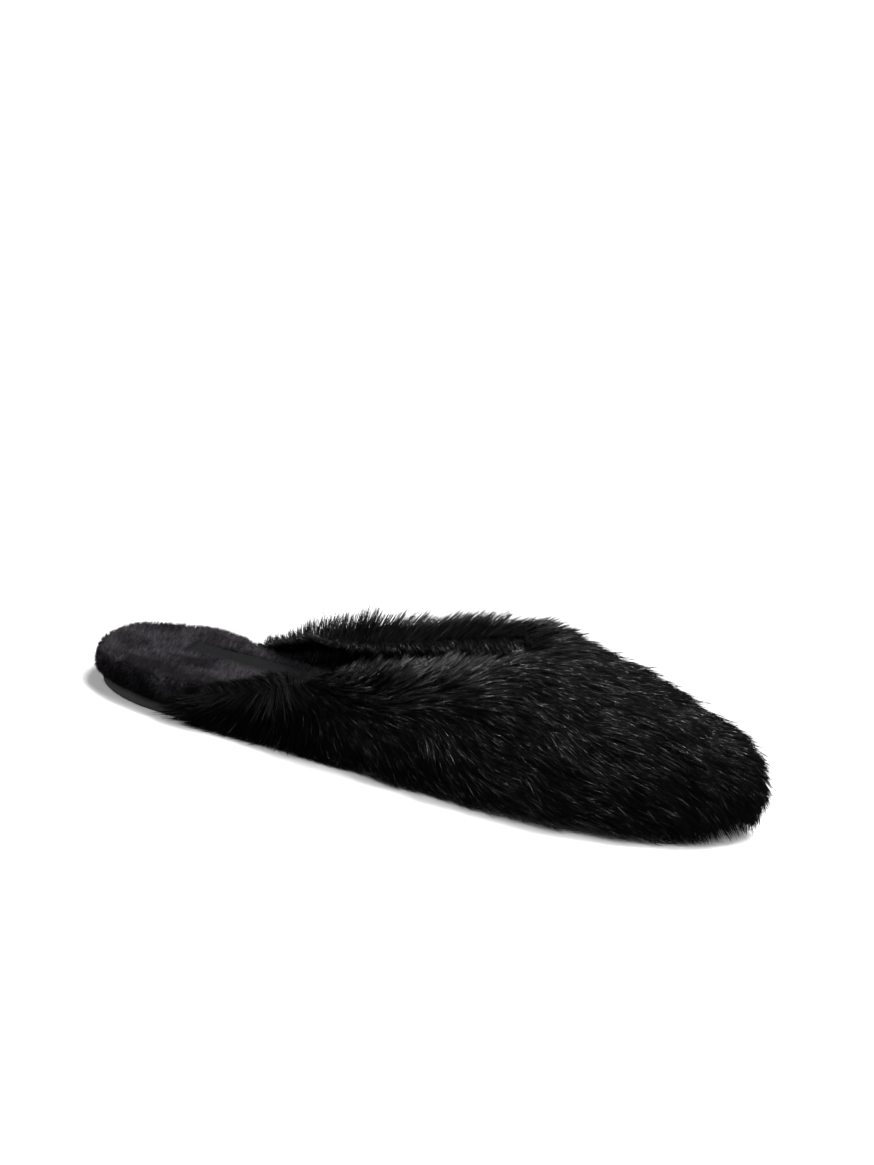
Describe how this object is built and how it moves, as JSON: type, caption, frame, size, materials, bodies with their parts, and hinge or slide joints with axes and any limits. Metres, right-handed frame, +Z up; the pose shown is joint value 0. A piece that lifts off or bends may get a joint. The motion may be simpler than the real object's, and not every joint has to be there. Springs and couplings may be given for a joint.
{
  "type": "faux fur mule slipper",
  "caption": "Open-back slipper with a hollow fur-covered upper, a soft cupped footbed and a ribbed rubber sole, for the right foot.",
  "frame": {"origin": "underside of the outsole below the middle of the heel, on the plane the slipper stands on", "axes": "+X from heel to toe, +Y towards the inner side of the right foot, +Z up"},
  "size_m": [0.2492, 0.0843, 0.0538],
  "materials": {
    "charcoal_rubber": "matte",
    "black_plush": "short brushed pile",
    "black_faux_fur": "glossy long pile",
    "black_satin_label": "satin weave"
  },
  "bodies": {
    "root": {"outsole": "charcoal_rubber", "footbed": "black_plush", "upper": "black_faux_fur", "footbed_label": "black_satin_label"}
  },
  "joints": []
}
